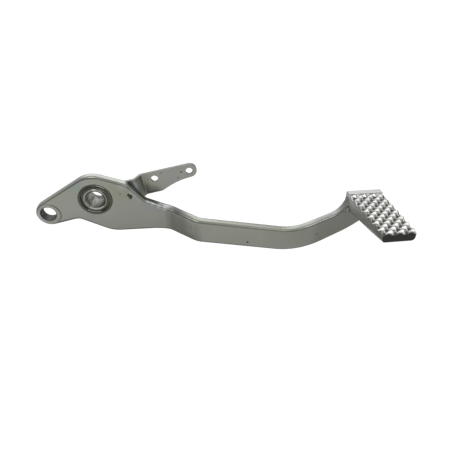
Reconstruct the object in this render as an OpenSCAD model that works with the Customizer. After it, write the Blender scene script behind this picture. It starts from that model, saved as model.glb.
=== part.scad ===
// Rear brake pedal of a motorbike, with its sealed needle bearing.
// Units are millimetres. X runs forward to the toe plate, Y inboard along the pivot axis and Z up.
// The origin is on the pivot axis, in the plane of the lever's outboard face.

/* [Lever plate] */
// Thickness of the lever plate
plate_t = 7; // [5:0.5:10]
// Radius of the rounded edges of the lever plate
edge_round = 2; // [0.5:0.25:2.5]
// Height of the arm at its bend
arm_h = 17.9; // [12:0.1:24]
// How far the lever plate runs under the toe plate
tongue_l = 17.6; // [12:0.2:22]
// How far the arm steps outboard of the pivot
arm_step = 12.6; // [8:0.1:18]
// Where the step of the arm starts
arm_step_start = 46.5; // [44:0.5:50]
// Steepest angle of the step, seen from above
arm_step_angle = 34; // [25:1:45]
// Bend radius of the step at mid thickness
arm_step_r = 10; // [7:1:14]

/* [Rear eye] */
// Place of the rear eye along the lever
eye_x = -32.3; // [-40:0.1:-28]
// Height of the rear eye below the pivot
eye_z = -9.5; // [-14:0.5:-5]
// Outer radius of the rear eye
eye_r = 8.9; // [8:0.1:11]
// Radius of the hole in the rear eye
eye_hole_r = 4.9; // [4:0.05:6]
// How far the hole is off the eye's centre, to the rear
eye_hole_back = 0.4; // [0:0.1:1]
// How far the hole is off the eye's centre, upwards
eye_hole_up = 0.4; // [0:0.1:1]
// Chamfer at the outboard mouth of that hole
eye_chamfer = 0.5; // [0.3:0.1:1.2]
// Chamfer at its inboard mouth
eye_far_chamfer = 0.3; // [0.1:0.1:0.8]
// Radius of the coined pad round the hole
eye_pad_r = 7.6; // [6.8:0.1:8]
// How far the coined pad stands proud
eye_pad_h = 0.25; // [0.1:0.05:0.6]

/* [Top outline] */
// Radius of the hump above the pivot
hump_r = 16.8; // [15:0.1:19]
// Place of the hump's centre ahead of the pivot
hump_x = -0.7; // [-3:0.1:1]
// Place of the shoulder ahead of the hump
shoulder_x = 19; // [16:0.1:21]
// Height of the shoulder's centre
shoulder_z = 6.4; // [5:0.1:7]
// Radius of the shoulder
shoulder_r = 4; // [3:0.5:6]
// Place of the throat between shoulder and arm
throat_x = 37.9; // [35:0.1:40]
// Height of the throat's centre
throat_z = 3.1; // [0:0.1:4]
// Radius of the throat
throat_r = 8; // [6:0.5:10]
// Place of the centre of the arm's upper knee
top_knee_x = 63; // [60:0.1:68]
// Height of the centre of the arm's upper knee
top_knee_z = 26.7; // [22:0.1:29]
// Radius of the arm's upper knee
top_knee_r = 40; // [30:1:50]
// Place of the centre of the arm's bend
bend_x = 135.4; // [130:0.1:142]
// Height of the centre of the arm's bend
bend_z = 6.9; // [4:0.1:10]
// Radius of the upper side of the arm's bend
bend_r = 34.8; // [28:0.1:42]
// Radius of the flare that rises to the toe plate
flare_r = 17.2; // [12:0.1:20]

/* [Bottom outline] */
// Place of the centre of the crotch behind the pivot
crotch_x = -14.8; // [-18:0.1:-12]
// Depth of the crotch's centre
crotch_z = -21; // [-24:0.1:-18]
// Radius of the crotch
crotch_r = 6; // [4:0.5:8]
// Place of the centre of the belly below the pivot
belly_x = 13.7; // [12:0.1:19]
// Height of the belly's centre
belly_z = -4.1; // [-8:0.1:-2]
// Radius of the belly
belly_r = 22.7; // [19:0.1:25]
// Place of the centre of the arm's lower knee
low_knee_x = 33.9; // [31:0.1:37]
// Depth of the centre of the arm's lower knee
low_knee_z = -87.1; // [-92:0.1:-82]
// Radius of the arm's lower knee
low_knee_r = 60; // [50:1:70]
// Place of the centre of the curve under the arm's end
sweep_x = 136.3; // [130:0.1:140]
// Height of the centre of the curve under the arm's end
sweep_z = 38.1; // [34:0.1:43]
// Radius of the curve under the arm's end
sweep_r = 80; // [75:1:85]

/* [Pivot bearing] */
// Radius of the bearing's seat in lever and boss
seat_r = 11; // [10.5:0.1:12]
// Chamfer at the mouth of the seat
seat_chamfer = 0.4; // [0.2:0.1:0.8]
// Wall of the pivot boss
boss_wall = 2.2; // [1.6:0.1:3]
// How far the pivot boss stands out of the inboard face
boss_h = 5.5; // [4:0.5:9]
// Leg of the weld round the boss
boss_weld_leg = 1.4; // [0.8:0.1:1.8]
// Wall of the inner sleeve
sleeve_wall = 2; // [1.6:0.1:2.6]
// How far the sleeve stands proud of the lever's outboard face
sleeve_proud = 0.7; // [0.7:0.1:1.2]
// How far the sleeve stands proud of the boss
sleeve_far_proud = 4.9; // [1:0.1:6]
// Width of the cones at the bore's mouths
sleeve_mouth_w = 0.9; // [0.4:0.05:1.1]
// Depth of the cones at the bore's mouths
sleeve_mouth_depth = 0.65; // [0.3:0.05:1.2]
// Chamfer round the sleeve's ends
sleeve_edge_chamfer = 0.4; // [0.2:0.05:0.6]
// Width of each ring seal
seal_w = 2; // [1.5:0.1:2.5]
// Depth of the seals behind the mouths of the seat
seal_recess = 0.25; // [0.1:0.05:0.5]
// Depth of the groove in each seal's face
seal_groove = 1.1; // [0.6:0.1:1.3]
// Wall of the drawn cup
cup_wall = 1; // [0.8:0.05:1.1]
// Radius of the needles
needle_r = 0.96; // [0.8:0.02:1.2]
// Number of needles in the bearing
needle_count = 18; // [14:1:18]

/* [Spring bracket] */
// Thickness of the bracket's sheet
bracket_t = 2.5; // [2:0.25:4]
// Half width of the bracket's strip, which is the radius of its round end
bracket_half_w = 4.85; // [4.2:0.05:6]
// How far that round end is centred ahead of the front hole
bracket_nose = 0.6; // [0:0.1:2]
// How far the strip is centred above the line of the holes
bracket_rise = 0.3; // [0:0.1:1]
// Radius of the two holes
bracket_hole_r = 2.5; // [1.5:0.1:3]
// Distance between the two holes
bracket_pitch = 25; // [18:0.5:30]
// Place of the front hole ahead of the pivot
bracket_hole_x = 64.5; // [60:0.5:70]
// Height of the front hole above the pivot
bracket_hole_z = 11.5; // [8:0.5:15]
// Rise of the strip towards its round end
bracket_tilt = 10.6; // [6:0.2:14]
// Gap between the welds of boss and bracket
bracket_gap = 0.7; // [0.3:0.1:1]
// Depth of the root below the line of the holes
bracket_depth = 10.3; // [8:0.1:12]
// How far the bracket steps inboard
bracket_step = 5.6; // [4:0.2:8]
// Distance from the front hole to the start of the step
bracket_step_start = 39; // [37:0.5:40]
// Steepest angle of the bracket's step
bracket_step_angle = 55; // [40:1:65]
// Bend radius of the bracket at mid thickness
bracket_bend_r = 2.25; // [2:0.25:3.5]
// Radius of the round weld beads
bracket_bead_r = 2; // [1:0.25:3]

/* [Toe plate] */
// Length of the toe plate across the bike
toe_l = 54; // [45:0.5:60]
// Width of the toe plate at the arm
toe_w = 24.8; // [21:0.2:30]
// Width of the toe plate at its outboard end
toe_tip_w = 21.1; // [18:0.2:26]
// How far the edge nearest to the pivot comes in towards the outboard end
toe_taper = 1.2; // [0:0.1:2.5]
// Edge of the toe plate nearest to the pivot
toe_x = 175.4; // [173:0.2:178]
// Height of the tread's crests below the pivot
toe_z = -1.7; // [-4:0.1:1]
// Thickness of the toe plate at the arm
toe_root_t = 12; // [9:0.1:13.5]
// Thickness of the toe plate at its outboard end
toe_tip_t = 6.6; // [5.5:0.1:9]
// Distance from the arm's end to the knee of the underside
toe_knee_l = 40; // [30:1:46]
// Thickness of the toe plate at that knee
toe_knee_t = 8.8; // [8:0.1:10]
// Length of the full thickness at the arm
toe_seat_l = 11; // [9:0.5:14]
// Radius of the toe plate's lower edges
toe_round = 2.2; // [1:0.1:3]
// Spacing of the tread's crossed grooves
tread_pitch = 5.1; // [4:0.1:7]
// Depth of the grooves
tread_depth = 1.9; // [1.2:0.1:2.6]
// Flat left on the crests between grooves
tread_land = 0.4; // [0.2:0.1:0.8]
// Distance from the edge nearest to the pivot to the middle row of the tread's crests
tread_middle = 11.4; // [10:0.2:14]
// How far the outboard end cuts past the crests of that row
tread_cut = 0.4; // [0:0.1:2]
// Smooth margin at the arm's end of the tread
tread_margin = 5; // [3:0.2:8]
// Radius of the beads that weld the toe plate to the arm
toe_bead_r = 1.5; // [1:0.1:3]
// How far the beads stop below the tread's crests
toe_bead_drop = 9; // [7:0.5:11]

/* [Hidden] */

// Overrun of every cut, and the thin slices that a hull is drawn between
overrun = 1;
slice = 0.02;
round_fn = 96;

// Running clearances of the bearing
needle_clearance = 0.04;
pocket_clearance = 0.06;
cage_clearance = 0.3;
cage_end_clearance = 0.1;
needle_end_clearance = 0.05;
lip_clearance = 0.05;
cup_lip_clearance = 0.7;

// Pivot boss, drawn cup, cage, needles and sleeve
boss_r = seat_r + boss_wall;
cup_y = seal_recess + seal_w;
cup_l = plate_t + boss_h - 2 * cup_y;
cup_in_r = seat_r - cup_wall;
cup_lip_t = 0.8;
pitch_r = cup_in_r - needle_clearance - needle_r;
sleeve_r = pitch_r - needle_clearance - needle_r;
sleeve_bore_r = sleeve_r - sleeve_wall;
cup_lip_r = sleeve_r + cup_lip_clearance;
cage_y = cup_y + cup_lip_t + cage_end_clearance;
cage_l = cup_l - 2 * (cup_lip_t + cage_end_clearance);
cage_rim = 0.6;
pocket_l = cage_l - 2 * cage_rim;
needle_l = pocket_l - 2 * needle_end_clearance;
needle_end_chamfer = 0.15;
function needle_name(i) = str("needle_", i < 10 ? "0" : "", i);

// Ring seals: a rim, a thin web and a lip
seal_rim_w = 1.2;
seal_lip_w = 0.9;

// Sampling of the lever's outline
eye_step = 10;
fine_step = 1.2;
arm_station_step = 3;
fine_end_x = 70;
flare_start_x = 158;
round_steps = 3;
step_samples = 16;

// The lever's seat and notch for the toe plate
arm_near_y = -arm_step;
arm_far_y = plate_t - arm_step;
toe_seat_z = toe_z - toe_root_t;
lever_end_x = toe_x + tongue_l;
flare_end_slope = 75;
sweep_end_slope = -60;
notch_h = toe_root_t + arm_h + (lever_end_x - toe_x) * tan(flare_end_slope);

// Beads of weld
toe_bead_top_z = toe_z - toe_bead_drop;
toe_bead_margin = 1;
toe_crown = 0.6;
weld_crown_share = 0.6;

// Arcs of the flat outlines
arc_steps = 6;
bracket_corner_r = 2.5;
bracket_heel_x = 22.9;
bracket_heel_r = 4;
bracket_neck_x = 1.3;
bracket_neck_r = 48;
bracket_neck_gap = 0.1;
bracket_top = bracket_rise + bracket_half_w;
bracket_root_x = boss_r + boss_weld_leg + bracket_gap + bracket_bead_r;
bracket_root = (bracket_hole_x - bracket_root_x) / cos(bracket_tilt);

// Grooves lie half a spacing to each side of a crest
tread_half_share = 0.5;

// Outlines as chains of tangent circles, each [x, z, radius], from the rear eye to the toe plate.
// A positive radius bulges out of the plate and a negative one cuts into it.
// The bottom outline is written upside down.
flare_x = toe_x - flare_r;
flare_z = toe_z - edge_round / 2;
top_chain = [
    [eye_x, eye_z, eye_r],
    [hump_x, 0, hump_r],
    [shoulder_x, shoulder_z, shoulder_r],
    [throat_x, throat_z, -throat_r],
    [top_knee_x, top_knee_z, -top_knee_r],
    [bend_x, bend_z, -bend_r],
    [flare_x, flare_z, -flare_r]
];
bottom_chain = [
    [eye_x, -eye_z, eye_r],
    [crotch_x, -crotch_z, -crotch_r],
    [belly_x, -belly_z, belly_r],
    [low_knee_x, -low_knee_z, -low_knee_r],
    [bend_x, -bend_z, bend_r + arm_h],
    [sweep_x, -sweep_z, sweep_r]
];
top_slopes = chain_slopes(top_chain, flare_end_slope);
bottom_slopes = chain_slopes(bottom_chain, sweep_end_slope);

// Slope in degrees of the line that is tangent to two circles of a chain
function tangent_slope(a, b) =
    let (dx = b[0] - a[0], dz = b[1] - a[1])
    atan2(dz, dx) - asin((a[2] - b[2]) / norm([dx, dz]));

// Slopes at the ends of every circle's arc, starting upright at the rear eye
function chain_slopes(chain, end_slope) =
    concat([90], [for (i = [0 : len(chain) - 2]) tangent_slope(chain[i], chain[i + 1])], [end_slope]);

// Where the arc of circle i ends, in an outline that is inset
function arc_end_x(chain, slopes, inset, i) = chain[i][0] - (chain[i][2] - inset) * sin(slopes[i + 1]);

// The first circle whose arc ends beyond x
function arc_at(chain, slopes, inset, x, i = 0) =
    i == len(chain) - 1 || x <= arc_end_x(chain, slopes, inset, i) ? i
    : arc_at(chain, slopes, inset, x, i + 1);

// Height of a point on the tangent line that leaves circle i
function line_height(chain, slopes, inset, x, i) =
    chain[i][1] + (chain[i][2] - inset) * cos(slopes[i + 1])
    + (x - arc_end_x(chain, slopes, inset, i)) * tan(slopes[i + 1]);

// Height of a chain's outline at x, inset by a distance
function chain_height(chain, slopes, inset, x) =
    let (
        i = arc_at(chain, slopes, inset, x),
        radius = chain[i][2] - inset,
        arc_start_x = chain[i][0] - radius * sin(slopes[i])
    )
    x < arc_start_x ? line_height(chain, slopes, inset, x, i - 1)
    : x > arc_end_x(chain, slopes, inset, i) ? line_height(chain, slopes, inset, x, i)
    : chain[i][1] + sign(radius) * sqrt(max(0, radius * radius - pow(x - chain[i][0], 2)));

// A bent step is [start, offset, steepest angle, bend radius, direction]
function step_ramp(step) = (step[1] - 2 * step[3] * (1 - cos(step[2]))) / tan(step[2]);
function step_end(step) = step[0] + 2 * step[3] * sin(step[2]) + step_ramp(step);

// Offset of the mid plane at x
function step_offset(step, x) =
    let (
        bend = step[3] * sin(step[2]),
        ramp_x = step[0] + bend,
        end_x = step_end(step)
    )
    x <= step[0] ? 0
    : x < ramp_x ? step[3] - sqrt(step[3] * step[3] - pow(x - step[0], 2))
    : x < end_x - bend ? step[3] * (1 - cos(step[2])) + (x - ramp_x) * tan(step[2])
    : x < end_x ? step[1] - step[3] + sqrt(step[3] * step[3] - pow(end_x - x, 2))
    : step[1];

// Angle of the mid plane at x
function step_angle(step, x) =
    let (bend = step[3] * sin(step[2]), end_x = step_end(step))
    x <= step[0] || x >= end_x ? 0
    : x < step[0] + bend ? asin((x - step[0]) / step[3])
    : x < end_x - bend ? step[2]
    : asin((end_x - x) / step[3]);

// A point of a stepped plate: x along it and a depth from its mid plane
function step_point(step, x, mid, depth) =
    let (angle = step[4] * step_angle(step, x))
    [x - depth * sin(angle), mid + step[4] * step_offset(step, x) + depth * cos(angle)];

// The lever is a row of closed rings, one at each station
arm_bend = [arm_step_start, arm_step, arm_step_angle, arm_step_r, -1];
eye_angles = [for (a = [90 - eye_step / 2 : -eye_step : eye_step / 2]) a];
plain_stations = concat(
    [for (x = [eye_x : fine_step : fine_end_x]) x],
    [for (x = [fine_end_x + fine_step : arm_station_step : flare_start_x]) x],
    [for (x = [flare_start_x + fine_step : fine_step : toe_x + fine_step]) x],
    [for (x = [toe_x + 2 * fine_step : arm_station_step : lever_end_x - arm_station_step]) x]);
station_count = len(eye_angles) + len(plain_stations) + 1;

// Place of a station along the lever, in a ring layer with its own inset
function station_x(i, inset) =
    i < len(eye_angles) ? eye_x - (eye_r - inset) * sin(eye_angles[i])
    : i < station_count - 1 ? plain_stations[i - len(eye_angles)]
    : lever_end_x - inset;

// One rounded edge of a ring as [depth, inset, on top], from the flat edge to the flat face
function edge_layers(side, on_top) = [
    for (k = [0 : round_steps])
        let (turn = 90 * k / round_steps)
        [side * (plate_t / 2 - edge_round * (1 - sin(turn))), edge_round * (1 - cos(turn)), on_top]
];
function reversed(list) = [for (i = [len(list) - 1 : -1 : 0]) list[i]];
ring_layers = concat(
    edge_layers(-1, true), reversed(edge_layers(-1, false)),
    edge_layers(1, false), reversed(edge_layers(1, true)));
ring_size = len(ring_layers);

function lever_point(i, layer) =
    let (
        x = station_x(i, layer[1]),
        z = layer[2] ? chain_height(top_chain, top_slopes, layer[1], x)
            : -chain_height(bottom_chain, bottom_slopes, layer[1], x),
        bent = step_point(arm_bend, x, plate_t / 2, layer[0])
    )
    [bent[0], bent[1], z];

// The points of station i start at i * ring_size. Strips join the rings and close both ends.
function ring_index(i, k) = i * ring_size + k % ring_size;
function quad(a, b, c, d) = [[a, b, c], [a, c, d]];
function wall_faces() = [
    for (i = [0 : station_count - 2], k = [0 : ring_size - 1])
        each quad(ring_index(i, k), ring_index(i + 1, k), ring_index(i + 1, k + 1), ring_index(i, k + 1))
];
function end_top(i, column) = ring_index(i, round_steps - column + ring_size);
function end_bottom(i, column) = ring_index(i, round_steps + 1 + column);
function end_faces(i) = [
    for (column = [0 : 2 * round_steps])
        each quad(end_top(i, column), end_top(i, column + 1),
            end_bottom(i, column + 1), end_bottom(i, column))
];
function flipped(faces) = [for (face = faces) reversed(face)];

// A cylinder along Y that starts at the origin
module along_y(r, h) {
    rotate([-90, 0, 0])
        cylinder(r = r, h = h, $fn = round_fn);
}

// A profile of [radius, y] points turned round the Y axis
module turned(profile) {
    rotate([-90, 0, 0])
        rotate_extrude($fn = round_fn)
            polygon(profile);
}

// A cone that chamfers the outboard mouth of a hole
module mouth_cone(r, chamfer) {
    translate([0, -overrun, 0])
        rotate([-90, 0, 0])
            cylinder(r1 = r + chamfer + overrun, r2 = r, h = chamfer + overrun, $fn = round_fn);
}

module lever_blank() {
    polyhedron(
        points = [for (i = [0 : station_count - 1], layer = ring_layers) lever_point(i, layer)],
        faces = concat(wall_faces(), end_faces(0), flipped(end_faces(station_count - 1))));
}

module pedal_lever() {
    eye_hole_x = eye_x - eye_hole_back;
    eye_hole_z = eye_z + eye_hole_up;
    color("silver")
    difference() {
        union() {
            lever_blank();
            translate([eye_x, -eye_pad_h, eye_z])
                along_y(eye_pad_r, eye_pad_h + edge_round);
        }
        translate([0, -overrun, 0])
            along_y(seat_r, plate_t + 2 * overrun);
        mouth_cone(seat_r, seat_chamfer);
        translate([eye_hole_x, -overrun, eye_hole_z])
            along_y(eye_hole_r, plate_t + 2 * overrun);
        translate([eye_hole_x, -eye_pad_h, eye_hole_z])
            mouth_cone(eye_hole_r, eye_chamfer);
        translate([eye_hole_x, plate_t, eye_hole_z])
            mirror([0, 1, 0])
                mouth_cone(eye_hole_r, eye_far_chamfer);
        translate([toe_x, arm_near_y - overrun, toe_seat_z])
            cube([lever_end_x - toe_x + overrun, plate_t + 2 * overrun, notch_h]);
    }
}

module pivot_boss() {
    boss_end = plate_t + boss_h;
    color("silver")
    turned([
        [seat_r, plate_t],
        [boss_r, plate_t],
        [boss_r, boss_end - seat_chamfer],
        [boss_r - seat_chamfer, boss_end],
        [seat_r + seat_chamfer, boss_end],
        [seat_r, boss_end - seat_chamfer]
    ]);
}

module boss_weld() {
    color("darkgray")
    turned([
        [boss_r, plate_t],
        [boss_r + boss_weld_leg, plate_t],
        [boss_r + boss_weld_leg * weld_crown_share, plate_t + boss_weld_leg * weld_crown_share],
        [boss_r, plate_t + boss_weld_leg]
    ]);
}

// Puts a child that is drawn about the front hole, along the strip, in its place
module on_bracket() {
    translate([bracket_hole_x, 0, bracket_hole_z])
        rotate([0, -bracket_tilt, 0])
            children();
}

// Points of a chain's arcs, from left to right
function chain_points(chain, slopes) = [
    for (i = [0 : len(chain) - 1], k = [0 : arc_steps])
        let (slope = slopes[i] + (slopes[i + 1] - slopes[i]) * k / arc_steps)
        [chain[i][0] - chain[i][2] * sin(slope), chain[i][1] + chain[i][2] * cos(slope)]
];
function upside_down(points) = [for (p = points) [p[0], -p[1]]];

module bracket_outline() {
    neck_top = bracket_half_w - bracket_rise + bracket_neck_gap;
    top = [
        [bracket_corner_r - bracket_root, bracket_top - bracket_corner_r, bracket_corner_r],
        [bracket_nose, bracket_rise, bracket_half_w]
    ];
    bottom = [
        [bracket_corner_r - bracket_root, bracket_depth - bracket_corner_r, bracket_corner_r],
        [-bracket_heel_x, bracket_depth - bracket_heel_r, bracket_heel_r],
        [bracket_neck_x, neck_top + bracket_neck_r, -bracket_neck_r],
        [bracket_nose, -bracket_rise, bracket_half_w]
    ];
    polygon(concat(
        chain_points(top, chain_slopes(top, -90)),
        reversed(upside_down(chain_points(bottom, chain_slopes(bottom, -90))))));
}

// The bracket's sheet seen from above, bent twice and wider than the outline
module bracket_sheet() {
    step = [-bracket_step_start, bracket_step, bracket_step_angle, bracket_bend_r, 1];
    bend_l = step_end(step) - step[0];
    stations = concat(
        [-bracket_root - overrun],
        [for (k = [0 : step_samples]) step[0] + bend_l * k / step_samples],
        [bracket_nose + bracket_half_w + overrun]);
    mid = plate_t + bracket_t / 2;
    outboard = [for (x = stations) step_point(step, x, mid, -bracket_t / 2)];
    inboard = [for (x = stations) step_point(step, x, mid, bracket_t / 2)];
    translate([0, 0, -bracket_depth - overrun])
        linear_extrude(height = bracket_depth + bracket_top + 2 * overrun)
            polygon(concat(outboard, reversed(inboard)));
}

module spring_bracket() {
    reach_y = plate_t + bracket_step + bracket_t + overrun;
    color("gray")
    on_bracket()
        difference() {
            intersection() {
                translate([0, reach_y, 0])
                    rotate([90, 0, 0])
                        linear_extrude(height = reach_y)
                            bracket_outline();
                bracket_sheet();
            }
            for (u = [0, -bracket_pitch])
                translate([u, 0, 0])
                    along_y(bracket_hole_r, reach_y);
        }
}

// Sections of a bead as [distance from the seam, height off the plate]
function quarter_bead(r) = concat([[0, 0]], [
    for (k = [0 : arc_steps])
        let (turn = 90 * k / arc_steps)
        [r * cos(turn), r * sin(turn)]
]);
function crowned_bead(r, crown) = [
    for (k = [0 : arc_steps])
        let (turn = acos((r - crown) / r) * (1 - 2 * k / arc_steps))
        [-r * sin(turn), r * cos(turn) - r + crown]
];

// A bead up a seam on the outboard side of a plate, and one along a seam that lies level
module bead_up(section, from, to) {
    translate([0, 0, from])
        linear_extrude(height = to - from)
            polygon([for (p = section) [-p[0], -p[1]]]);
}
module bead_along(section, from, to) {
    translate([from, 0, 0])
        rotate([90, 0, 90])
            linear_extrude(height = to - from)
                polygon([for (p = section) [-p[1], -p[0]]]);
}

module bracket_weld() {
    section = quarter_bead(bracket_bead_r);
    corner_x = bracket_corner_r - bracket_root;
    corner_z = bracket_corner_r - bracket_depth;
    color("darkgray")
    on_bracket()
        translate([0, plate_t, 0])
            mirror([0, 1, 0]) {
                translate([-bracket_root, 0, 0])
                    bead_up(section, corner_z, bracket_top - bracket_corner_r);
                translate([0, 0, -bracket_depth])
                    bead_along(section, corner_x, -bracket_step_start);
                translate([corner_x, 0, corner_z])
                    rotate([90, 0, 0])
                        rotate([0, 0, 180])
                            rotate_extrude(angle = 90, $fn = round_fn)
                                polygon([for (p = section) [bracket_corner_r + p[0], p[1]]]);
            }
}

// A quarter turn of the toe plate's lower edge round [x, z]
function corner_arc(x, z, from) = [
    for (k = [0 : arc_steps])
        let (turn = from + 90 * k / arc_steps)
        [x + toe_round * cos(turn), z + toe_round * sin(turn)]
];

// A thin cross-section of the toe plate with round lower edges
module toe_section(x, y, w, t) {
    translate([x, y, toe_z])
        rotate([90, 0, 0])
            linear_extrude(height = slice)
                polygon(concat(
                    [[w, 0], [0, 0]],
                    corner_arc(toe_round, toe_round - t, 180),
                    corner_arc(w - toe_round, toe_round - t, 270)));
}

// One V groove along Y, with its open side above the tread
module groove() {
    half_w = (tread_pitch - tread_land) / 2;
    wider = half_w * (1 + overrun / tread_depth);
    translate([0, 2 * toe_l, 0])
        rotate([90, 0, 0])
            linear_extrude(height = 4 * toe_l)
                polygon([[0, -tread_depth], [wider, overrun], [-wider, overrun]]);
}

module tread_grooves() {
    zone_l = toe_l - tread_margin;
    count = ceil((toe_l + tread_middle) / (sqrt(2) * tread_pitch));
    intersection() {
        for (turn = [-45, 45], i = [-count : count])
            translate([toe_x + tread_middle, arm_far_y - toe_l - tread_cut, toe_z])
                rotate([0, 0, turn])
                    translate([(i + tread_half_share) * tread_pitch, 0, 0])
                        groove();
        translate([toe_x - overrun, arm_far_y - toe_l - overrun, toe_z - tread_depth - overrun])
            cube([toe_w + 2 * overrun, zone_l + overrun, tread_depth + 3 * overrun]);
    }
}

module toe_plate() {
    seat_w = toe_w - (toe_w - toe_tip_w) * toe_seat_l / toe_l;
    knee_share = (toe_knee_l - toe_seat_l) / (toe_l - toe_seat_l);
    knee_w = seat_w + (toe_tip_w - seat_w) * knee_share;
    color("lightgray")
    difference() {
        hull() {
            toe_section(toe_x, arm_far_y, toe_w, toe_root_t);
            toe_section(toe_x, arm_far_y - toe_seat_l, seat_w, toe_root_t);
            toe_section(toe_x + toe_taper * knee_share, arm_far_y - toe_knee_l, knee_w, toe_knee_t);
            toe_section(toe_x + toe_taper, arm_far_y - toe_l + slice, toe_tip_w, toe_tip_t);
        }
        tread_grooves();
    }
}

// Two beads that meet at a mitred corner: one up the arm's end and one under the toe plate
module toe_bead(section) {
    rise = toe_bead_top_z - toe_seat_z;
    seam_l = lever_end_x - toe_x - toe_bead_margin;
    translate([toe_x, 0, toe_seat_z]) {
        bead_up(section, 0, rise);
        bead_along(section, 0, seam_l);
        intersection() {
            bead_up(section, -toe_bead_r, 0);
            bead_along(section, -toe_bead_r, 0);
        }
    }
}

module toe_weld_outboard() {
    color("darkgray")
    translate([0, arm_near_y, 0])
        toe_bead(quarter_bead(toe_bead_r));
}

module toe_weld_inboard() {
    color("darkgray")
    translate([0, arm_far_y, 0])
        mirror([0, 1, 0])
            toe_bead(crowned_bead(toe_bead_r, toe_crown));
}

module bearing_cup() {
    cup_end = cup_y + cup_l;
    color("gainsboro")
    turned([
        [cup_lip_r, cup_y],
        [seat_r, cup_y],
        [seat_r, cup_end],
        [cup_lip_r, cup_end],
        [cup_lip_r, cup_end - cup_lip_t],
        [cup_in_r, cup_end - cup_lip_t],
        [cup_in_r, cup_y + cup_lip_t],
        [cup_lip_r, cup_y + cup_lip_t]
    ]);
}

module needle_cage() {
    in_r = sleeve_r + cage_clearance;
    out_r = cup_in_r - cage_clearance;
    pocket_w = 2 * (needle_r + pocket_clearance);
    color("goldenrod")
    difference() {
        turned([[in_r, cage_y], [out_r, cage_y], [out_r, cage_y + cage_l], [in_r, cage_y + cage_l]]);
        for (i = [1 : needle_count])
            at_needle(i)
                translate([-pocket_w / 2, cage_y + cage_rim, -pitch_r + in_r - overrun])
                    cube([pocket_w, pocket_l, out_r - in_r + 2 * overrun]);
    }
}

// Moves a child from the pivot axis to the place of needle i
module at_needle(i) {
    rotate([0, 360 * i / needle_count, 0])
        translate([0, 0, pitch_r])
            children();
}

module needle(i) {
    start = cage_y + cage_rim + needle_end_clearance;
    color("white")
    at_needle(i)
        turned([
            [0, start],
            [needle_r - needle_end_chamfer, start],
            [needle_r, start + needle_end_chamfer],
            [needle_r, start + needle_l - needle_end_chamfer],
            [needle_r - needle_end_chamfer, start + needle_l],
            [0, start + needle_l]
        ]);
}

module pivot_sleeve() {
    sleeve_start = -sleeve_proud;
    sleeve_stop = plate_t + boss_h + sleeve_far_proud;
    color("whitesmoke")
    turned([
        [sleeve_bore_r, sleeve_start + sleeve_mouth_depth],
        [sleeve_bore_r + sleeve_mouth_w, sleeve_start],
        [sleeve_r - sleeve_edge_chamfer, sleeve_start],
        [sleeve_r, sleeve_start + sleeve_edge_chamfer],
        [sleeve_r, sleeve_stop - sleeve_edge_chamfer],
        [sleeve_r - sleeve_edge_chamfer, sleeve_stop],
        [sleeve_bore_r + sleeve_mouth_w, sleeve_stop],
        [sleeve_bore_r, sleeve_stop - sleeve_mouth_depth]
    ]);
}

// A ring seal that starts at the origin, with its grooved face outwards
module ring_seal() {
    lip_r = sleeve_r + lip_clearance;
    color("dimgray")
    turned([
        [lip_r, 0],
        [lip_r + seal_lip_w, 0],
        [lip_r + seal_lip_w, seal_groove],
        [seat_r - seal_rim_w, seal_groove],
        [seat_r - seal_rim_w, 0],
        [seat_r, 0],
        [seat_r, seal_w],
        [lip_r, seal_w]
    ]);
}

module seal_outer() {
    translate([0, seal_recess, 0])
        ring_seal();
}

module seal_inner() {
    translate([0, plate_t + boss_h - seal_recess, 0])
        mirror([0, 1, 0])
            ring_seal();
}

pedal_lever();
pivot_boss();
boss_weld();
spring_bracket();
bracket_weld();
toe_plate();
toe_weld_outboard();
toe_weld_inboard();
bearing_cup();
needle_cage();
pivot_sleeve();
seal_outer();
seal_inner();
for (i = [1 : needle_count])
    needle(i);
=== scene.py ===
import math

import bmesh
import bpy
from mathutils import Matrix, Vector


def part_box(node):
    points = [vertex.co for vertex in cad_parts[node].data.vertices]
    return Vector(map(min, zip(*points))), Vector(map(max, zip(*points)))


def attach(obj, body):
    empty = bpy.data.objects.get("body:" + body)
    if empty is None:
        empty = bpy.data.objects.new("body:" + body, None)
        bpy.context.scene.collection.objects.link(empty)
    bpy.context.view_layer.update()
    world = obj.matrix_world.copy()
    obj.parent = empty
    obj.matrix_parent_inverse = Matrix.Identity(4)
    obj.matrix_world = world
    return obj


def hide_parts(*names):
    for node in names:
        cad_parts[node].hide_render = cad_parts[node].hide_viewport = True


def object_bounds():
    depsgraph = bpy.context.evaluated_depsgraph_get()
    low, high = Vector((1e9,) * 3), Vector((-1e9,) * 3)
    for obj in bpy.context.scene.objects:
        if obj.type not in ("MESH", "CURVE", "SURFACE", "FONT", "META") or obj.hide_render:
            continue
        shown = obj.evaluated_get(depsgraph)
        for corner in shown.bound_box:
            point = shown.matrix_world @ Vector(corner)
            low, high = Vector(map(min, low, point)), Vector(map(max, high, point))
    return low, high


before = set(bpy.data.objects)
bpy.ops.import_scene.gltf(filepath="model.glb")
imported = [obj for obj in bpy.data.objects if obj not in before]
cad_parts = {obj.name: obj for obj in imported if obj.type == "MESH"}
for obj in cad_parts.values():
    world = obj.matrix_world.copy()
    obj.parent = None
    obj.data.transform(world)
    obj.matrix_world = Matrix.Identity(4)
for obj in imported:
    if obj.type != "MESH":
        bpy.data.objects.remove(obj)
cad_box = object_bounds()

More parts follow.
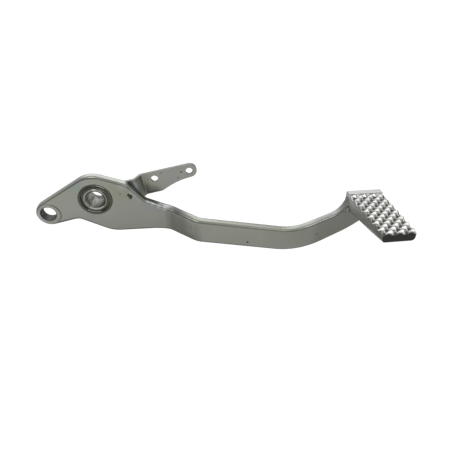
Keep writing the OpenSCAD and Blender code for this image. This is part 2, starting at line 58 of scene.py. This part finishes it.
# Camera, lamps, floor and backdrop of a small product studio. The camera stands above the outboard
# side, a little behind the middle of the pedal, with a short lens close to the part.
focal_pixels, photo_pixels, tilt_down, turn = 370, 452, 33.75, -6.836
eye = bpy.data.cameras.new("studio_camera")
eye.sensor_width = 36
eye.lens = eye.sensor_width * focal_pixels / photo_pixels
camera = bpy.data.objects.new("studio_camera", eye)
camera.location = (0.06193, -0.22729, 0.12434)
camera.rotation_euler = (math.radians(90 - tilt_down), 0, math.radians(turn))
bpy.context.scene.collection.objects.link(camera)
bpy.context.scene.camera = camera
bpy.context.scene.view_settings.view_transform = "Standard"


def softbox(name, place, target, width, height, glow, tint=(1, 1, 1)):
    """An area lamp whose surface has the radiance glow, turned to the target."""
    lamp = bpy.data.lights.new(name, "AREA")
    lamp.shape = "RECTANGLE"
    lamp.size, lamp.size_y = width, height
    lamp.energy = glow * math.pi * width * height
    lamp.color = tint
    box = bpy.data.objects.new(name, lamp)
    box.location = place
    box.rotation_euler = (Vector(target) - Vector(place)).to_track_quat("-Z", "Y").to_euler()
    bpy.context.scene.collection.objects.link(box)


arm_middle = (0.07, 0, 0)
softbox("lamp_behind", (-0.3, 2.6, 1.42), arm_middle, 2.3, 1.3, 1.9, (0.95, 1, 1.06))
softbox("lamp_behind_right", (1.12, 2.15, 1.75), arm_middle, 1.26, 1.2, 1.5, (0.97, 1, 1.03))
softbox("lamp_front_right", (1, -0.54, 1.2), arm_middle, 0.8, 0.6, 1.5)
softbox("lamp_overhead", (-0.11, -0.29, 0.8), (-0.11, -0.29, 0), 0.32, 0.54, 3.1)


class Grade:
    """A value that varies over a surface. Sums of grades become Math nodes of their finish."""

    def __init__(self, finish, socket):
        self.finish, self.socket = finish, socket

    def reckon(self, operation, *others):
        sockets = dict(enumerate((self,) + others))
        return self.finish.node("ShaderNodeMath", {"operation": operation}, sockets)

    def __add__(self, other):
        return self.reckon("ADD", other)

    def __sub__(self, other):
        return self.reckon("SUBTRACT", other)

    def __rsub__(self, other):
        return self.finish.node("ShaderNodeMath", {"operation": "SUBTRACT"}, {0: other, 1: self})

    def __mul__(self, other):
        return self.reckon("MULTIPLY", other)

    def __truediv__(self, other):
        return self.reckon("DIVIDE", other)

    __radd__, __rmul__ = __add__, __mul__

    def most(self, *others):
        """The greatest of this grade and the others."""
        grade = self
        for other in others:
            grade = grade.reckon("MAXIMUM", other)
        return grade

    def between(self, low, high):
        """0 below low, 1 above high and smooth in between."""
        return self.finish.node("ShaderNodeMapRange", {"interpolation_type": "SMOOTHSTEP"},
                                {"Value": self, "From Min": low, "From Max": high})

    def band(self, rise, fall):
        """1 between two smooth edges, each given as (from, to), and 0 outside them."""
        return self.between(*rise) * (1 - self.between(*fall))


class Finish:
    """A material in the making: its nodes, and where each one's values come from."""

    def __init__(self, name, owner=None, end="ShaderNodeOutputMaterial"):
        self.material = owner or bpy.data.materials.new(name)
        self.material.use_nodes = True
        self.tree = self.material.node_tree
        self.tree.nodes.clear()
        self.end = self.tree.nodes.new(end)

    def node(self, kind, settings, sockets, out=0):
        made = self.tree.nodes.new(kind)
        for name, value in settings.items():
            setattr(made, name, value)
        for key, value in sockets.items():
            if isinstance(value, Grade):
                self.tree.links.new(value.socket, made.inputs[key])
            else:
                made.inputs[key].default_value = value
        return Grade(self, made.outputs[out])

    def place(self):
        return self.node("ShaderNodeTexCoord", {}, {}, "Object")

    def stretched(self, scale):
        return self.node("ShaderNodeMapping", {}, {"Vector": self.place(), "Scale": scale})

    def axis(self, name):
        return self.node("ShaderNodeSeparateXYZ", {}, {0: self.place()}, name)

    def ray(self, kind):
        return self.node("ShaderNodeLightPath", {}, {}, "Is %s Ray" % kind)

    def distance(self, where, centre):
        """Distance in metres of the place from the centre."""
        return self.node("ShaderNodeVectorMath", {"operation": "DISTANCE"},
                         {0: where, 1: centre}, "Value")

    def from_axis(self, x=0.0, z=0.0):
        """Distance in metres from a line along Y."""
        flat = self.node("ShaderNodeVectorMath", {"operation": "MULTIPLY"},
                         {0: self.place(), 1: (1, 0, 1)})
        return self.distance(flat, (x, 0, z))

    def noise(self, size, detail=2, where=None):
        """Soft noise with blotches of about this size in metres, from 0 to 1."""
        return self.node("ShaderNodeTexNoise", {}, {
            "Vector": where or self.place(), "Scale": 1 / size, "Detail": detail,
            "Roughness": 0.55})

    def spot(self, centre, radius, ragged=0.35, core=0.62):
        """1 inside a ragged spot and 0 outside it. The centre and the radius are in millimetres,
        and core is the share of the radius that has the full depth."""
        metres = radius / 1000
        away = self.distance(self.place(), [c / 1000 for c in centre])
        edge = away / metres + self.noise(metres * 0.9) * ragged * 2 - ragged
        return 1 - edge.between(core, 1.12)

    def blend(self, share, first, second):
        return self.node("ShaderNodeMix", {"data_type": "RGBA"}, {0: share, 6: first, 7: second}, 2)

    def white(self, level):
        """A grey whose brightness is the level, up to 2, where 1 is white."""
        return self.blend(level * 0.5, (0, 0, 0, 1), (2, 2, 2, 1))

    def bump(self, height, distance):
        return self.node("ShaderNodeBump", {}, {
            "Height": height, "Distance": distance, "Strength": 1.0})

    def surface(self, **sockets):
        named = {name.replace("_", " ").title(): value for name, value in sockets.items()}
        named["IOR"] = 1.5
        return self.close(self.node("ShaderNodeBsdfPrincipled", {}, named))

    def close(self, shader):
        self.tree.links.new(shader.socket, self.end.inputs["Surface"])
        return self.material


def toned(colour, tone):
    """The colour, brighter or darker by the factor tone, with an alpha of 1."""
    return tuple(channel * tone for channel in colour) + (1,)


def floor_paper():
    """Paper that the camera sees as white. In the metal it is bright in front and darker behind."""
    paper = Finish("floor_paper")
    seen = paper.ray("Camera")
    metal = (paper.ray("Glossy") + paper.ray("Transmission")).reckon("MINIMUM", 1)
    x, y = paper.axis("X"), paper.axis("Y")
    behind = y.between(-0.22, -0.06) * (0.6 - x.between(0.1, 0.3) * 0.4)
    near = y.between(-0.27, -0.21) * (1 - x.between(0.02, 0.08)) * 0.26
    beside = x.between(0.15, 0.26) * y.between(-0.5, -0.3) * (1 - y.between(-0.12, 0)) * 0.46
    across = 1.42 - x.between(-0.2, 0.03) * 0.18 - x.between(0.22, 0.5) * 0.2
    level = across - behind - near - beside
    dull = paper.node("ShaderNodeBsdfDiffuse", {}, {"Color": (0.8, 0.8, 0.8, 1)})
    bright = paper.node("ShaderNodeEmission", {}, {
        "Color": paper.white(seen * 1.12 + metal * level)})
    return paper.close(paper.node("ShaderNodeMixShader", {}, {
        0: seen * 0.9 + metal, 1: dull, 2: bright}))


floor_half_width, floor_drop = 6, 0.11
bm = bmesh.new()
bmesh.ops.create_grid(bm, x_segments=1, y_segments=1, size=floor_half_width)
bmesh.ops.translate(bm, vec=(0, 0, cad_box[0][2] - floor_drop), verts=bm.verts)
floor_mesh = bpy.data.meshes.new("studio_floor")
bm.to_mesh(floor_mesh)
bm.free()
floor = bpy.data.objects.new("studio_floor", floor_mesh)
floor.data.materials.append(floor_paper())
bpy.context.scene.collection.objects.link(floor)


def studio_air():
    """White to the camera. The metal sees pale walls, brighter on the left, dimmer in front on the
    left and dark low behind."""
    world = bpy.data.worlds.new("studio_air")
    bpy.context.scene.world = world
    air = Finish("studio_air", world, "ShaderNodeOutputWorld")
    toward = air.node("ShaderNodeTexCoord", {}, {}, "Generated")
    x, y, z = (air.node("ShaderNodeSeparateXYZ", {}, {0: toward}, name) for name in "XYZ")
    front_left = (0 - x - y).between(0.5, 1.1)
    high_behind = z.between(0.1, 0.6) * y.between(-0.6, 0)
    walls = 0.6 + high_behind * 0.28 + (y - x).between(0.3, 1.2) * 0.35 - front_left * 0.22
    dark = (x.band((-0.3, 0), (0.5, 0.75)) * y.between(0.1, 0.6) * (1 - z.between(0.1, 0.3)))
    metal = air.ray("Glossy")
    seen = air.ray("Camera")
    dull = 1 - metal.most(seen)
    level = seen * 1.05 + metal * (walls - dark * 0.5) + dull * 0.5
    air.close(air.node("ShaderNodeBackground", {}, {"Color": air.white(level)}))


studio_air()


# Pedal lever: one steel forging, stepped sideways between the pivot and the arm, trimmed, tumbled
# and zinc plated. The plate has a thin green and blue cast, a dark pit and a few pinholes.
def zinc_plate(name, tone=1.0, spots=(), stains_and_painted_light=(), grain=1.0, marks=None):
    """Zinc over steel. spots are pits as (centre, radius) in millimetres. The tinted patches, each
    (centre, radius, share, colour), are partly stained plating and partly painted light. marks
    takes the finish and gives a share of dark, most of it painted shade."""
    finish = Finish(name)
    cast = finish.noise(0.035, 3)
    cool = finish.noise(0.016, 2).between(0.5, 0.72)
    colour = finish.blend(cast.between(0.38, 0.62), toned((0.228, 0.236, 0.196), tone),
                          toned((0.247, 0.245, 0.226), tone))
    colour = finish.blend(cool * 0.35, colour, toned((0.2, 0.223, 0.222), tone))
    # Tinted patches: stained plating, and painted light where they are pale or bright.
    for centre, radius, share, tint in stains_and_painted_light:
        patch = finish.spot(centre, radius, ragged=0.12, core=0.15)
        colour = finish.blend(patch * share, colour, tint + (1,))
    height = finish.noise(0.0011, 3) * 0.5 + finish.noise(0.006, 2) * 0.7
    rough = 0.27 + finish.noise(0.009, 3) * 0.1
    if spots:
        pit, *others = [finish.spot(centre, radius, ragged=0.55) for centre, radius in spots]
        pit = pit.most(*others)
        colour = finish.blend(pit * 0.86, colour, (0.03, 0.04, 0.02, 1))
        height = height - pit * 6
        rough = rough + pit * 0.3
    metallic = 1.0
    if marks:
        # The dark share is mostly painted shade, laid on as a near-black colour.
        dark = marks(finish)
        colour = finish.blend(dark, colour, (0.035, 0.036, 0.03, 1))
        rough = rough + dark * 0.2
        metallic = 1 - dark * 0.6
    return finish.surface(base_color=colour, metallic=metallic, roughness=rough,
                          normal=finish.bump(height, 0.00003 * grain))


def smooth_copy(node, body, name, angle=38):
    """A copy of a CAD node with its flat triangles joined and its round edges shaded smooth."""
    same_place, flat = 0.000002, math.radians(0.5)
    bm = bmesh.new()
    bm.from_mesh(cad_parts[node].data)
    bmesh.ops.remove_doubles(bm, verts=bm.verts, dist=same_place)
    bmesh.ops.dissolve_limit(bm, angle_limit=flat, verts=bm.verts, edges=bm.edges)
    for face in bm.faces:
        face.smooth = True
    mesh = bpy.data.meshes.new(name)
    bm.to_mesh(mesh)
    bm.free()
    mesh.set_sharp_from_angle(angle=math.radians(angle))
    piece = bpy.data.objects.new(name, mesh)
    bpy.context.scene.collection.objects.link(piece)
    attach(piece, body)
    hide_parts(node)
    return piece


def even_shading(piece):
    """Normals that follow the largest faces, so that flat faces stay flat beside round edges."""
    weighted = piece.modifiers.new("even_shading", "WEIGHTED_NORMAL")
    weighted.keep_sharp = True
    weighted.weight = 100


def lever_painted_shade(finish):
    """Painted shade: black in the drilled eye and a painted shadow along the rim of its coined pad.
    Darker within about 11 mm of the pivot's axis, round the seat. Painted shade on the step, over
    its top and on the arm's rise, and in the corner under the toe plate."""
    x, z = finish.axis("X"), finish.axis("Z")
    eye = finish.from_axis(-0.0327, -0.0091)
    # Painted shade: black inside the drilled eye.
    drilled = (1 - eye.between(0.0052, 0.0056)) * (0.84 + finish.noise(0.002, 3) * 0.25)
    pad = finish.from_axis(-0.0323, -0.0095)
    # Painted shadow along the rim of the coined pad.
    rim = pad.band((0.0070, 0.0075), (0.0076, 0.0081)) * x.between(-0.032, -0.026)
    # Darker within about 11 mm of the pivot's axis, round the seat.
    seat_ring_darkening = (1 - finish.from_axis(-0.0001, -0.0003).between(0.0110, 0.0118)) * 0.6
    # Painted shade on the step, on the arm's rise and over the step's top.
    fold = x.between(0.0454, 0.0464) * (0.15 - x.between(0.048, 0.052) * 0.1)
    bend = (x.between(0.034, 0.046) * 0.07 + fold) * (1 - x.between(0.055, 0.062))
    rise = x.between(0.150, 0.157) * 0.16
    bridge = x.band((0.048, 0.0535), (0.054, 0.064)) * (z + x * 0.17).between(-0.0055, -0.0035)
    # Painted shade in the corner under the toe plate.
    soot_and_painted_shade = [finish.spot((173.5, -12.6, -6.8), 1.6, ragged=0.5) * 0.5,
            finish.spot((172.2, -12.6, -14.3), 1.4, ragged=0.5) * 0.35]
    return drilled.most(rim * 0.6, seat_ring_darkening, bend + rise, bridge * 0.66, *soot_and_painted_shade)


lever = smooth_copy("pedal_lever", "pedal", "lever_forging")
even_shading(lever)
# Olive and blue are tints of the plating. The pale blue patches on the top edges and the eye's rim,
# and the bright patches along the throat's top edge, are painted highlights. The two lighter
# patches on the step's outboard face are painted light.
olive, blue, pale_blue = (0.21, 0.222, 0.16), (0.19, 0.222, 0.235), (0.32, 0.34, 0.35)
painted_light_on_step, bright = (0.3, 0.305, 0.275), (0.56, 0.57, 0.57)
lever.data.materials.append(zinc_plate(
    "zinc_on_forging", marks=lever_painted_shade,
    spots=(((22.4, 0, 1.9), 1.1), ((23.5, 0, 0.8), 1.4), ((23.4, 0, -0.5), 0.8),
           ((16.9, 0, 3.2), 0.4), ((103.5, -12.6, -35.6), 0.8), ((155.5, -12.6, -32.7), 0.5),
           ((159.6, -12.6, -19.8), 0.5)),
    stains_and_painted_light=(((22, 0, 1.8), 5, 0.7, olive), ((16, 0, 6), 8, 0.6, olive),
            ((37, 0, -6), 8, 0.6, blue), ((-12, 0, 11), 8, 0.5, blue),
            # The pale blue and bright patches are painted highlights; the last two, on the step,
            # are painted light.
            ((26.5, 3, 4), 5.5, 0.8, pale_blue), ((19, 2, 9), 5, 0.5, pale_blue),
            ((-41, 1, -11), 7, 0.7, pale_blue), ((46.6, 2, -9.9), 3.4, 1, bright),
            ((42, 1.4, -7.7), 3.2, 0.6, bright), ((38, 1.6, -5.9), 2.8, 0.75, bright),
            ((35, 1.7, -4.2), 2.6, 0.7, bright), ((61.8, -9, -18), 4.5, 0.8, painted_light_on_step),
            ((62.2, -9.3, -24.5), 4.5, 0.8, painted_light_on_step))))


# Pivot boss: a turned steel ring, pressed on the lever's inboard side and welded round its foot.
# It carries half of the bearing's seat and is plated with the lever.
def coat(node, material):
    """Gives a CAD node this material alone."""
    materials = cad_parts[node].data.materials
    materials.clear()
    materials.append(material)


coat("pivot_boss", zinc_plate("zinc_on_boss", tone=1.04, grain=0.5))


# Boss weld: a small fillet run round the foot of the boss. It is the lever's own steel, melted
# with the wire, and plated over.
def weld_bead(name, run, tone=0.9):
    """Plated weld metal, rippled along its run. run gives the ripples' density on X, Y and Z."""
    finish = Finish(name)
    wander = finish.noise(0.004, 2)
    ripple = finish.node("ShaderNodeTexWave", {
        "wave_type": "BANDS", "bands_direction": "DIAGONAL"}, {
        "Vector": finish.stretched(run), "Scale": 1.0, "Distortion": 1.5, "Detail": 1.0})
    soot_and_painted_shade = finish.noise(0.0025, 3).between(0.5, 0.8)
    colour = finish.blend(soot_and_painted_shade, toned((0.235, 0.238, 0.215), tone),
                          toned((0.16, 0.165, 0.145), tone))
    return finish.surface(base_color=colour, metallic=1.0, roughness=0.4 + wander * 0.2,
                          normal=finish.bump(ripple * 0.5 + wander, 0.0003))


coat("boss_weld", weld_bead("plated_boss_weld", (260, 260, 260)))


# Spring bracket: a strip of sheet steel, blanked with two holes, bent twice and plated. Its skin
# is a little darker than the lever's and has pinholes near the front hole.
def strip_marks_and_painted_shade(finish):
    """Painted shade on the root behind the lever's edge, in the second bend, in the hole walls, on
    the ramp and along the heel, and dull sheared edges.
    """
    x, z = finish.axis("X"), finish.axis("Z")
    # Painted shade on the strip's root, behind the lever's edge.
    root = 1 - (x + z * 0.55).between(0.0268, 0.0285)
    along, above = x * 0.983 + z * 0.184, z * 0.983 - x * 0.184
    # Painted shade in the second bend.
    crease = along.band((0.0306, 0.0311), (0.0317, 0.0323))
    top = above.between(0.00443, 0.00452)
    nose = finish.from_axis(0.06503, 0.0119).between(0.00475, 0.00482) * x.between(0.0635, 0.065)
    front, rear = finish.from_axis(0.0645, 0.0115), finish.from_axis(0.03993, 0.0069)
    # Painted shade in the hole walls.
    holes = 1 - front.reckon("MINIMUM", rear).between(0.00252, 0.0026)
    # Painted shade along the heel and on the ramp.
    heel = ((1 - z.between(-0.001, 0.0055)) * (1 - x.between(0.038, 0.046))
            * z.between(-0.004, -0.0015) * 0.16)
    ramp = (1 - x.between(0.033, 0.0385)) * 0.13 + heel
    root_painted_shade = root * (0.1 + finish.noise(0.003) * 0.15)
    return root_painted_shade.most(crease * 0.45, ramp, top * 0.5, nose * 0.5, holes * 0.65)


bracket = smooth_copy("spring_bracket", "pedal", "bracket_strip", angle=40)
even_shading(bracket)
bracket.data.materials.append(zinc_plate(
    "zinc_on_strip", tone=0.98, marks=strip_marks_and_painted_shade,
    spots=(((58.8, 12.6, 11.2), 0.6), ((56.4, 12.6, 7), 0.45), ((44.8, 12.6, 11.2), 0.45),
           ((35.5, 12.6, 7), 0.4)),
    # Two lighter patches, on the heel and at the root: painted light.
    stains_and_painted_light=(((36, 12.6, -3), 4.5, 0.8, (0.37, 0.38, 0.36)),
            ((26.5, 7, 4.5), 4, 0.7, (0.29, 0.31, 0.32)))))


# Bracket weld: one bead of weld metal round the strip's root, on the lever's inboard face, which
# holds the bracket. It is plated over.
coat("bracket_weld", weld_bead("plated_bracket_weld", (300, 60, 300), tone=1.25))


# Toe plate: a steel block, thinned towards its outboard end, with crossed grooves cut into its top.
# The plate is thick on the tread, and the sawn outboard end is dark: oxide and painted shade.
def tread_zinc():
    """Bright zinc over the tread, with grime and painted shade in the grooves, painted light and
    shade on the side walls, painted highlights where the grooves end, and a black outboard end of
    oxide and painted shade.
    """
    finish = Finish("zinc_on_tread")
    low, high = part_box("toe_plate")
    x, y, z = finish.axis("X"), finish.axis("Y"), finish.axis("Z")
    pitch, groove_depth, middle_row, cut, seat_length = 0.0051, 0.0019, 0.0114, 0.0004, 0.011
    turns = math.tau / (pitch * math.sqrt(2))
    east, north = x - (low[0] + middle_row), y - (low[1] - cut)

    def groove(across):
        """1 along the bottoms of one set of grooves and 0 along the crests beside them."""
        return 0.5 - (across * turns).reckon("COSINE") * 0.5

    crossing = groove(east - north) * groove(east + north)
    lee = ((east - north) * turns).reckon("SINE").between(0.1, 0.8)
    taper = (high[1] - seat_length - y).reckon("MAXIMUM", 0) * 0.0279
    side = 1 - (x - low[0] - taper).between(0.00012, 0.0003)
    depth = (high[2] - z) / groove_depth
    top, wall = 1 - depth.between(0.1, 0.3), depth.between(1.05, 1.25)
    margin = y.between(high[1] - 0.0056, high[1] - 0.0049)
    outboard = y - low[1]

    colour = finish.blend(finish.noise(0.012, 3).between(0.3, 0.7), (0.455, 0.46, 0.44, 1),
                          (0.5, 0.5, 0.49, 1))
    mottle = finish.noise(0.0016, 4).between(0.45, 0.75) * (1 - margin)
    colour = finish.blend(mottle * 0.3, colour, (0.25, 0.25, 0.24, 1))
    # Painted light on the side walls away from the outboard end, and painted shade on them towards
    # it.
    colour = finish.blend(wall * outboard.between(0.006, 0.02), colour, (0.51, 0.51, 0.49, 1))
    colour = finish.blend(wall * (1 - outboard.between(0.004, 0.014)), colour,
                          (0.3, 0.305, 0.29, 1))
    colour = finish.blend(margin * top * 0.6, colour, (0.35, 0.35, 0.345, 1))
    # Painted highlight on the grooves' ends by the margin.
    foot = (y.between(high[1] - 0.008, high[1] - 0.006)
            * depth.between(0.2, 0.6) * (1 - depth.between(1.02, 1.2)))
    colour = finish.blend(foot * 0.8, colour, (0.75, 0.75, 0.73, 1))

    # Dark in the grooves: dirt, and painted shade on the pyramids' lee faces.
    deep_in_groove = depth.between(0.45 - lee * 0.12, 0.95 - lee * 0.15)
    patchy = 0.35 + finish.noise(0.0017, 3) * 1.3
    dirt_and_painted_shade = ((1 - foot) * (1 - side) * deep_in_groove * (1 - wall) * (1 - margin)
            * (1.25 - crossing * 0.85) * patchy)
    colour = finish.blend((dirt_and_painted_shade * 0.9).reckon("MINIMUM", 0.95), colour, (0.07, 0.072, 0.06, 1))
    # The outboard end is black: oxide, and painted shade.
    end_oxide_and_painted_shade = 1 - outboard.between(0.00005, 0.0005)
    colour = finish.blend(end_oxide_and_painted_shade, colour, (0.02, 0.021, 0.019, 1))
    rough = 0.28 + finish.noise(0.003, 3) * 0.14 + end_oxide_and_painted_shade * 0.25
    grain = finish.noise(0.0009, 3) * (1 - margin * top * 0.9)
    return finish.surface(base_color=colour, metallic=1 - end_oxide_and_painted_shade * 0.6, roughness=rough,
                          normal=finish.bump(grain, 0.00005))


toe = smooth_copy("toe_plate", "pedal", "toe_plate_tread", angle=30)
worn = toe.modifiers.new("worn_crests", "BEVEL")
worn.width = 0.00022
worn.segments = 2
worn.limit_method = "ANGLE"
worn.angle_limit = math.radians(28)
even_shading(toe)
toe.data.materials.append(tread_zinc())


# Toe welds: a bead up the arm's end and under the block on the outboard side, and a low run over
# the same seam on the inboard side, both plated over.
for node, name in (("toe_weld_outboard", "plated_outboard_weld"),
                   ("toe_weld_inboard", "plated_inboard_weld")):
    coat(node, weld_bead(name, (320, 40, 320), tone=1.15))


# Drawn cup and needles: hard bearing steel, ground and oiled, inside the seat of lever and boss.
# Eighteen needles roll between the cup and the sleeve.
def bearing_steel(name):
    """Ground steel with fine marks along its length and patches of thin oil."""
    finish = Finish(name)
    lap = finish.noise(0.0004, 2, finish.stretched((1, 0.15, 1)))
    oil = finish.noise(0.003, 2).between(0.4, 0.7)
    colour = finish.blend(oil, (0.55, 0.55, 0.54, 1), (0.46, 0.44, 0.38, 1))
    return finish.surface(base_color=colour, metallic=1.0, roughness=0.16 + lap * 0.16,
                          normal=finish.bump(lap, 0.000004))


needles = ["needle_%02d" % number for number in range(1, 19)]
hard_steel = bearing_steel("ground_bearing_steel")
for node in ["bearing_cup"] + needles:
    coat(node, hard_steel)


# Needle cage: pressed steel with a matt phosphate skin and one pocket for each needle. It floats
# between the cup and the sleeve.
def cage_skin():
    """Fine grey crystals that leave little shine."""
    finish = Finish("phosphate_on_cage")
    crystal = finish.noise(0.0006, 3)
    colour = finish.blend(crystal.between(0.35, 0.65), (0.16, 0.155, 0.14, 1),
                          (0.24, 0.235, 0.22, 1))
    return finish.surface(base_color=colour, metallic=0.85, roughness=0.5 + crystal * 0.2,
                          normal=finish.bump(crystal, 0.00001))


coat("needle_cage", cage_skin())


# Pivot sleeve: a hard steel bush, ground outside, faced at its ends and bored. Old grease streaks
# the bore.
def sleeve_steel():
    """Fine turning marks and old streaks in the bore. Painted light on the left of the bore,
    painted shade deep in it, by its mouth, on its cone and on the faced end's lower rim and right
    side, and a painted glint on the mouth's lower edge.
    """
    finish = Finish("faced_sleeve_steel")
    x, y, z = finish.axis("X"), finish.axis("Y"), finish.axis("Z")
    radius = finish.from_axis()
    inside = 1 - radius.between(0.00688, 0.00694)
    turning = finish.noise(0.0003, 2, finish.stretched((0.25, 1, 0.25)))
    slant = finish.node("ShaderNodeMapping", {}, {
        "Vector": finish.place(), "Rotation": (0.9, 0.5, 0.3), "Scale": (1, 0.16, 1)})
    streak = finish.noise(0.0014, 4, slant).between(0.42, 0.6)

    bore = finish.blend(streak, (0.21, 0.205, 0.185, 1), (0.12, 0.117, 0.1, 1))
    # Painted light on the left side of the bore.
    bore = finish.blend((1 - x.between(-0.0052, -0.003)) * (1 - streak * 0.6), bore,
                        (0.36, 0.355, 0.325, 1))
    # Painted shade deep in the bore and by its mouth.
    deep = (y + x * 0.4).between(0.0112, 0.0124) * x.between(-0.0045, -0.0015) * 0.85
    mouth = (1 - y.between(0, 0.0075)) * x.between(-0.0028, -0.0006) * 0.72
    bore = finish.blend(deep.most(mouth), bore, (0.035, 0.035, 0.027, 1))

    # Painted shade on the faced end's lower rim and right side.
    lower_rim = radius.between(0.0072, 0.0074) * (1 - z.between(-0.004, 0))
    face = finish.blend(lower_rim.most(x.between(0.005, 0.0065)) * 0.6, (0.255, 0.25, 0.232, 1),
                        (0.13, 0.13, 0.115, 1))
    colour = finish.blend(inside, face, bore)
    glint = radius.band((0.0063, 0.0064), (0.0071, 0.0073)) * (1 - z.between(-0.006, -0.0045))
    colour = finish.blend(glint * 0.8, colour, (0.56, 0.55, 0.52, 1))
    # Painted shade on the cone, darker towards its top.
    cone = ((1 - glint) * inside * radius.between(0.00602, 0.0061)
            * (0.1 + z.between(-0.003, 0) * 0.45))
    colour = finish.blend(cone, colour, (0.05, 0.048, 0.04, 1))
    return finish.surface(base_color=colour, metallic=1.0,
                          roughness=0.28 + turning * 0.1 + inside * 0.1,
                          normal=finish.bump(turning * 0.3 + streak * inside * 4, 0.000012))


coat("pivot_sleeve", sleeve_steel())


# Ring seals: moulded nitrile rubber, pressed into both mouths of the seat. The lips carry a film of
# grease, shown as pale arcs of painted highlight. Black arcs of painted shade lie on them too.
def seal_rubber(name):
    """Dusty dark rubber with black arcs of painted shade and pale arcs of painted highlight."""
    finish = Finish(name)
    radius = finish.from_axis()
    x, z = finish.axis("X"), finish.axis("Z")
    soft = 0.00008

    def arc(low, high):
        return radius.band((low - soft, low + soft), (high - soft, high + soft))

    dust = finish.noise(0.0016, 3).between(0.45, 0.75)
    colour = finish.blend(dust * 0.6, (0.062, 0.068, 0.046, 1), (0.11, 0.115, 0.085, 1))
    # Black arcs of painted shade at the upper left, along the lower edge and at the lower right.
    upper_left = arc(0.0099, 0.0110) * (1 - x.between(-0.003, 0)) * z.between(0.003, 0.006)
    lower_edge = arc(0.0102, 0.0109) * (1 - z.between(-0.009, -0.0075))
    lower_right = (1 - z.between(-0.0085, -0.0065)) * x.between(0.0028, 0.0042)
    painted_shade_arcs = upper_left.most(lower_edge, lower_right)
    colour = finish.blend(painted_shade_arcs * 0.55, colour, (0.025, 0.03, 0.016, 1))
    # Pale arcs of painted highlight.
    below = (arc(0.0096, 0.0100) * (1 - z.between(-0.008, -0.007))
             * (1 - x.between(0.001, 0.003)))
    above = arc(0.0101, 0.0107) * x.between(0.0018, 0.003) * z.between(0.007, 0.0085) * 0.5
    inner = arc(0.0082, 0.0086) * x.between(0.0025, 0.004) * z.between(0.004, 0.006) * 0.4
    right = arc(0.0088, 0.0099) * x.between(-0.004, 0) * z.between(-0.004, 0) * 0.22
    colour = finish.blend(below.most(above, inner, right), colour, (0.6, 0.59, 0.54, 1))
    return finish.surface(base_color=colour, metallic=0.55, roughness=0.36 + dust * 0.25,
                          normal=finish.bump(finish.noise(0.0005, 2), 0.00001))


for node in ("seal_outer", "seal_inner"):
    coat(node, seal_rubber("greased_" + node))
